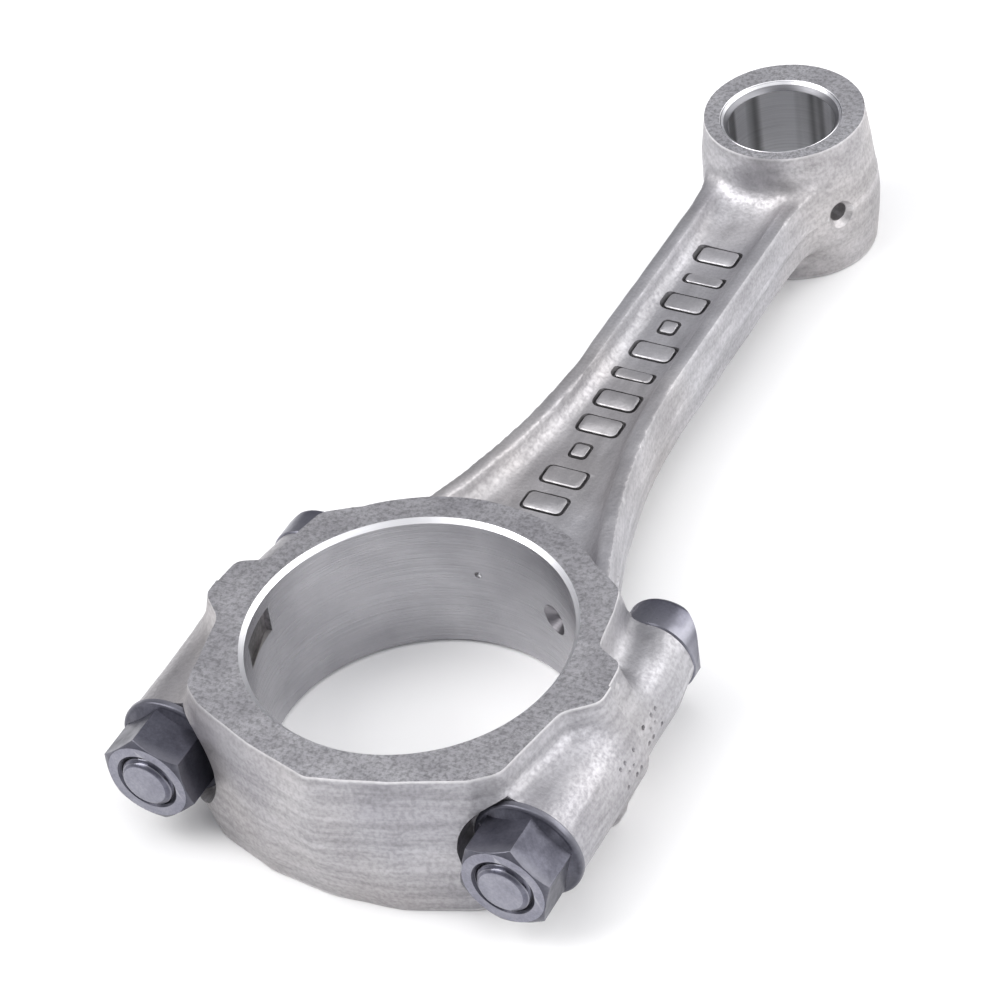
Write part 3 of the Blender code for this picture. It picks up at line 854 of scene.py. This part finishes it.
def make_rod():
    rod = skin("rod_forging_skin", rod_field, rod_field, (44.0, (-8.0, 163.0), 16.5), STEP, 11)
    boolean(rod, joined([mark_solid(*mark, MARK_MOAT) for mark in MARKS]))
    boolean(rod, joined([mark_solid(*mark, MARK_RAISED) for mark in MARKS]), "UNION")
    for z0, z1 in ((HALF_WIDTH, CLEAR), (-CLEAR, -HALF_WIDTH)):
        boolean(rod, box(-FAR, FAR, -CLEAR, PAST_EYE_Y, z0, z1))
    boolean(rod, box(-FAR, FAR, -CLEAR, HAIRLINE, -CLEAR, CLEAR))
    boolean(rod, bore_solid(BIG_BORE_R, BIG_CHAMFER, 0.0))
    boolean(rod, bore_solid(EYE_BORE_R, 0.12, CENTRES, 128))
    boolean(rod, punch_marks(1, BOSS_ROD_R))
    for side in (1, -1):
        boolean(rod, head_seat(side))
        boolean(rod, bolt_hole(side, -9.0, 45.0))
    wall = EYE_MID_R + 0.2
    oil_hole = [(EYE_OIL_R, EYE_BORE_R - 2), (EYE_OIL_R, wall - 0.9), (EYE_OIL_SINK_R, wall - 0.3),
                (EYE_OIL_SINK_R + 1.2, wall + 0.9)]
    boolean(rod, drill(EYE_OIL_DEG, oil_hole, CENTRES))
    spurt_hole = [(SPURT_SINK_R + 0.2, BIG_BORE_R - 3), (SPURT_SINK_R, BIG_BORE_R - 0.1),
                  (SPURT_R, BIG_BORE_R + 1.3), (SPURT_R, BIG_BORE_R + 16)]
    boolean(rod, drill(SPURT_DEG, spurt_hole, 0.0))
    prick = [(0.65, BIG_BORE_R - 1), (0.6, BIG_BORE_R + 0.3), (0.05, BIG_BORE_R + 0.7)]
    boolean(rod, drill(PRICK_DEG, prick, 0.0, 20, PRICK_Z))
    give_materials(rod, [FORGED, GROUND, HONED, CHAMFER_HIGHLIGHT, DRILLED, FLASH_TRIM_AND_HIGHLIGHT, MARK_SHADE_MATERIAL, GROUND_EYE_LIT],
                   lambda c, n: forging_faces(c, n, HAIRLINE, HEAD_SEAT_Y, True))
    place(rod, "rod", "rod_forging", "forged_steel")


def make_cap():
    cap = skin("bearing_cap_skin", cap_field, cap_low_field, (44.0, (-39.0, 8.0), 16.5), STEP, 23)
    for z0, z1 in ((HALF_WIDTH, CLEAR), (-CLEAR, -HALF_WIDTH)):
        boolean(cap, box(-FAR, FAR, -FAR, CLEAR, z0, z1))
    boolean(cap, box(-FAR, FAR, -HAIRLINE, CLEAR, -CLEAR, CLEAR))
    boolean(cap, bore_solid(BIG_BORE_R, BIG_CHAMFER, 0.0))
    for side in (1, -1):
        recess = [(SEAT_RECESS_R, -FAR), (SEAT_RECESS_R, NUT_SEAT_Y)]
        boolean(cap, turned(recess, 96, "Y", (side * BOLT_X, 0, 0)))
        boolean(cap, bolt_hole(side, -45.0, 9.0))
    boolean(cap, tang_slot())
    boolean(cap, punch_marks(-1, BOSS_CAP_R))
    give_materials(cap, [FORGED_CAP_SHADED, GROUND, HONED, CHAMFER_HIGHLIGHT, DRILLED, FORGED_CAP_SHADED],
                   lambda c, n: forging_faces(c, n, -HAIRLINE, NUT_SEAT_Y, False))
    place(cap, "cap", "bearing_cap", "forged_steel_cap")


def tang_slot():
    """Wedge-shaped slot for the bearing shell's tang, deepest at the joint."""
    x0 = -BIG_BORE_R
    plan = [(x0 + 2.5, 1.0), (x0 - TANG_DEPTH, 1.0), (x0 - 1.0, -1.0), (x0 - 0.1, -6.0),
            (x0 + 1.4, -TANG_LENGTH), (x0 + 2.5, -TANG_LENGTH)]
    return loft([[(x, y, z) for x, y in plan] for z in (TANG_LOW, TANG_HIGH)])


def thread_radius(turn, y, root, crest):
    """Radius of a thread's flank at an angle and a height: a clipped triangle wave."""
    phase = (y / PITCH + turn) % 1.0
    wave = 1 - abs(2 * phase - 1)
    return root + (crest - root) * min(1.0, max(0.0, wave * 1.35 - 0.12))


def round_ring(side, y, radius_at, segments=96):
    """Points round a bolt's axis, with the radius given by the share of a turn."""
    points = []
    for k in range(segments):
        turn = k / segments
        radius = radius_at(turn)
        points.append((side * BOLT_X + radius * math.cos(FULL_TURN * turn), y,
                       radius * math.sin(FULL_TURN * turn)))
    return points


def make_bolt(side, name):
    head_y = HEAD_SEAT_Y + HAIRLINE
    top_y = head_y + HEAD_HEIGHT
    rings = []

    def ring(y, radius_at):
        rings.append(round_ring(side, y, radius_at))

    ring(BOLT_END_Y, lambda turn: BOLT_TIP_R - 0.25)
    ring(BOLT_END_Y + 0.08, lambda turn: BOLT_TIP_R)
    steps = int((THREAD_TOP_Y - BOLT_END_Y) / PITCH * 8)
    for k in range(1, steps):
        y = BOLT_END_Y + 0.08 + (THREAD_TOP_Y - BOLT_END_Y) * k / steps
        cap_r = min(BOLT_R, BOLT_TIP_R + (y - BOLT_END_Y) * 1.1)
        fade = max(0.0, min(1.0, (THREAD_TOP_Y - y) / 1.2))
        root = BOLT_R - (BOLT_R - BOLT_ROOT_R) * fade
        ring(y, lambda turn: min(cap_r, thread_radius(turn, y, root, BOLT_R)))
    shank = ((THREAD_TOP_Y + 0.2, BOLT_R - NECK_RELIEF), (THREAD_TOP_Y + 2.2, BOLT_R - NECK_RELIEF),
             (THREAD_TOP_Y + 2.5, BOLT_R), (FIT_TOP_Y, BOLT_R), (FIT_TOP_Y + 0.3, BOLT_R - SHANK_RELIEF),
             (head_y - 0.6, BOLT_R - SHANK_RELIEF), (head_y, BOLT_R))
    for y, r in shank:
        ring(y, lambda turn: r)
    ring(head_y, lambda turn: HEAD_R - HEAD_LIP)
    ring(head_y + HEAD_LIP, lambda turn: HEAD_R)
    ring(top_y - HEAD_EDGE, lambda turn: HEAD_R)
    for k in range(1, 13):
        angle = math.radians(90 * k / 12)
        radius = HEAD_R - HEAD_EDGE * (1 - math.cos(angle))
        ring(top_y - HEAD_EDGE * (1 - math.sin(angle)), lambda turn: radius)
    ring(top_y, lambda turn: 1.0)
    bolt = from_bmesh(name + "_fine", loft(rings))
    reach = sorted((side * (BOLT_X - HEAD_FLAT), side * (BOLT_X - HEAD_R - 3)))
    boolean(bolt, box(reach[0], reach[1], head_y - 0.5, top_y + 2, -12, 12))
    ball = [(HEAD_BALL_X, top_y + 0.001)]
    for k in range(1, 25):
        angle = math.radians(90 * k / 24)
        ball.append((HEAD_BALL_X + HEAD_BALL_R * math.sin(angle), head_y + HEAD_HEIGHT * math.cos(angle)))
    ball += [(HEAD_R + 2, head_y - 0.01), (HEAD_R + 2, top_y + 2), (HEAD_BALL_X, top_y + 2)]
    boolean(bolt, loft([[(side * (BOLT_X + u), y, z) for u, y in ball] for z in (-12, 12)]))
    give_materials(bolt, [BLACK, FACED],
                   lambda c, n: ((c[:, 1] < BOLT_END_Y + 0.05) & (np.abs(n[:, 1]) > 0.9)).astype(int))
    bolt.modifiers.new("even_shading", "WEIGHTED_NORMAL").keep_sharp = True
    place(bolt, "rod", name, "bolt_steel", 40)


def make_nut(side, name):
    base_y = NUT_SEAT_Y - HAIRLINE
    corner = NUT_HALF_FLATS / math.cos(math.pi / 6)
    rings = []
    for y in (NUT_END_Y, base_y - NUT_COLLAR * 0.5):
        rings.append([(side * BOLT_X + corner * math.cos(math.radians(60 * k + NUT_TURN_DEG[side])), y,
                       corner * math.sin(math.radians(60 * k + NUT_TURN_DEG[side]))) for k in range(6)])
    nut = from_bmesh(name + "_fine", loft(rings))
    axis = (side * BOLT_X, 0, 0)
    boolean(nut, turned([(NUT_HALF_FLATS - 0.15, NUT_END_Y), (corner + 0.2, NUT_END_Y + NUT_CROWN),
                         (corner + 0.2, base_y)], 96, "Y", axis), "INTERSECT")
    bevel = nut.modifiers.new("edges", "BEVEL")
    bevel.width = NUT_EDGE
    bevel.segments = 2
    bevel.limit_method = "ANGLE"
    bevel.angle_limit = math.radians(28)
    graph = bpy.context.evaluated_depsgraph_get()
    mesh = bpy.data.meshes.new_from_object(nut.evaluated_get(graph))
    nut.modifiers.clear()
    nut.data = mesh
    collar = [(NUT_HALF_FLATS - 0.6, base_y - NUT_COLLAR * 1.5),
              (NUT_HALF_FLATS + 0.1, base_y - NUT_COLLAR * 1.22)]
    for k in range(7):
        angle = math.radians(90 * k / 6)
        collar.append((NUT_COLLAR_R - 0.8 * (1 - math.sin(angle)),
                       base_y - NUT_COLLAR * 0.55 - 0.5 * math.cos(angle)))
    collar += [(NUT_COLLAR_R, base_y - 0.25), (NUT_COLLAR_R - 0.2, base_y)]
    boolean(nut, turned(collar, 96, "Y", axis), "UNION")
    bore = [round_ring(side, NUT_END_Y - 1.0, lambda turn: NUT_SINK_R + 1.0)]
    steps = int((base_y - NUT_END_Y) / PITCH * 8)
    for j in range(steps + 1):
        y = NUT_END_Y + 0.05 + (base_y + 1.0 - NUT_END_Y) * j / steps
        widen = max(0.0, NUT_SINK_R - (y - NUT_END_Y))
        bore.append(round_ring(side, y, lambda turn: max(
            widen, thread_radius(turn, y + 0.5 * PITCH, BOLT_R + HOLE_PLAY, BOLT_R + 0.5))))
    boolean(nut, loft(bore))
    give_materials(nut, [BLACK_NUT, FACED],
                   lambda c, n: ((c[:, 1] < NUT_END_Y + 0.03) & (np.abs(n[:, 1]) > 0.95)).astype(int))
    nut.modifiers.new("even_shading", "WEIGHTED_NORMAL").keep_sharp = True
    place(nut, "nut_" + name.split("_")[-1], name, "nut_steel", 30)


def make_bush():
    half = BUSH_HALF_LENGTH
    outer = EYE_BORE_R - 0.04
    inner = BUSH_INNER_R
    profile = [(outer, -half + 0.1), (outer, half - 0.1), (outer - 0.1, half), (outer - 0.5, half - 0.4),
               (inner + 0.15, half - BUSH_CHAMFER), (inner, half - BUSH_CHAMFER - 0.25),
               (inner, -half + BUSH_CHAMFER + 0.25), (inner + 0.15, -half + BUSH_CHAMFER),
               (outer - 0.5, -half + 0.4), (outer - 0.1, -half)]
    bush = from_bmesh("small_end_bush_fine", turned(profile, 160, centre=(0.0, CENTRES, 0.0), closed=False))
    oil_hole = [(BUSH_OIL_SINK_R, BUSH_INNER_R - 2), (BUSH_OIL_SINK_R - 0.1, BUSH_INNER_R + 0.2),
                (BUSH_OIL_R, BUSH_INNER_R + 0.5), (BUSH_OIL_R, outer + 2)]
    boolean(bush, drill(EYE_OIL_DEG, oil_hole, CENTRES))

    def choose(c, n):
        radius = np.hypot(c[:, 0], c[:, 1] - CENTRES)
        sloped = np.abs(n[:, 2]) > 0.2
        # The inner chamfer cone takes the darker painted shade copy.
        return np.where(sloped & (radius > outer - 0.5), 1, np.where(sloped, 2, 0))

    give_materials(bush, [BUSH, BUSH_EDGE, BUSH_CONE_SHADED], choose)
    place(bush, "rod", "small_end_bush", "bush_metal", 30)


make_rod()
make_cap()
make_bolt(1, "rod_bolt_right")
make_bolt(-1, "rod_bolt_left")
make_nut(1, "rod_nut_right")
make_nut(-1, "rod_nut_left")
make_bush()


# ---------------------------------------------------------------- stage, light and camera

def stage_floor():
    bm = bmesh.new()
    bmesh.ops.create_grid(bm, x_segments=1, y_segments=1, size=4.0)
    mesh = bpy.data.meshes.new("floor")
    bm.to_mesh(mesh)
    bm.free()
    floor = new_object("floor", mesh)
    floor.location = (0, 0, cad_low.z - 0.0002)
    mat, _, shader = node_material("pale_floor", (0.93, 0.93, 0.93), 0.0, 0.9)
    shader.inputs["Specular IOR Level"].default_value = 0.1
    mesh.materials.append(mat)


def area_light(name, azimuth, elevation, distance, size, power, colour=(1.0, 1.0, 1.0)):
    data = bpy.data.lights.new(name, "AREA")
    data.shape = "RECTANGLE"
    data.size, data.size_y = size
    data.energy = power
    data.color = colour
    light = bpy.data.objects.new(name, data)
    bpy.context.scene.collection.objects.link(light)
    a, e = math.radians(azimuth), math.radians(elevation)
    back = Vector((math.sin(a) * math.cos(e), -math.cos(a) * math.cos(e), math.sin(e)))
    light.location = back * distance
    light.rotation_mode = "QUATERNION"
    light.rotation_quaternion = back.to_track_quat("Z", "Y")


def world_light():
    world = bpy.data.worlds.new("studio")
    bpy.context.scene.world = world
    world.use_nodes = True
    background = world.node_tree.nodes["Background"]
    background.inputs["Color"].default_value = (0.93, 0.94, 1.0, 1.0)
    background.inputs["Strength"].default_value = 0.36


CAMERA_TURN_DEG = (32.89, 40.67, -8.80)
CAMERA_FROM_BIG_END = Vector((248.6, -354.8, 411.1))
LENS_MM = 138.7
SENSOR_MM = 36.0


def camera():
    azimuth, elevation, roll = (math.radians(angle) for angle in CAMERA_TURN_DEG)
    back = Vector((math.sin(azimuth) * math.cos(elevation), -math.cos(azimuth) * math.cos(elevation),
                   math.sin(elevation)))
    right = Vector((0, 0, 1)).cross(back).normalized()
    up = back.cross(right)
    x_axis = right * math.cos(roll) + up * math.sin(roll)
    y_axis = -right * math.sin(roll) + up * math.cos(roll)
    data = bpy.data.cameras.new("camera")
    data.lens = LENS_MM
    data.sensor_width = SENSOR_MM
    data.clip_start = 0.01
    data.clip_end = 50.0
    cam = bpy.data.objects.new("camera", data)
    bpy.context.scene.collection.objects.link(cam)
    cam.matrix_world = Matrix.Translation(BIG_CENTRE + CAMERA_FROM_BIG_END * MM) @ Matrix(
        (x_axis, y_axis, back)).transposed().to_4x4()
    bpy.context.scene.camera = cam


stage_floor()
world_light()
area_light("key", 128, 32, 1.2, (1.0, 0.9), 8, (1.0, 0.995, 0.98))
area_light("left", -50, 45, 1.3, (1.0, 0.8), 12, (1.0, 0.99, 0.98))
area_light("right", 75, 30, 1.2, (0.8, 0.6), 4)
area_light("top", 0, 88, 1.2, (1.2, 1.2), 7)
camera()
bpy.context.scene.view_settings.view_transform = "Standard"
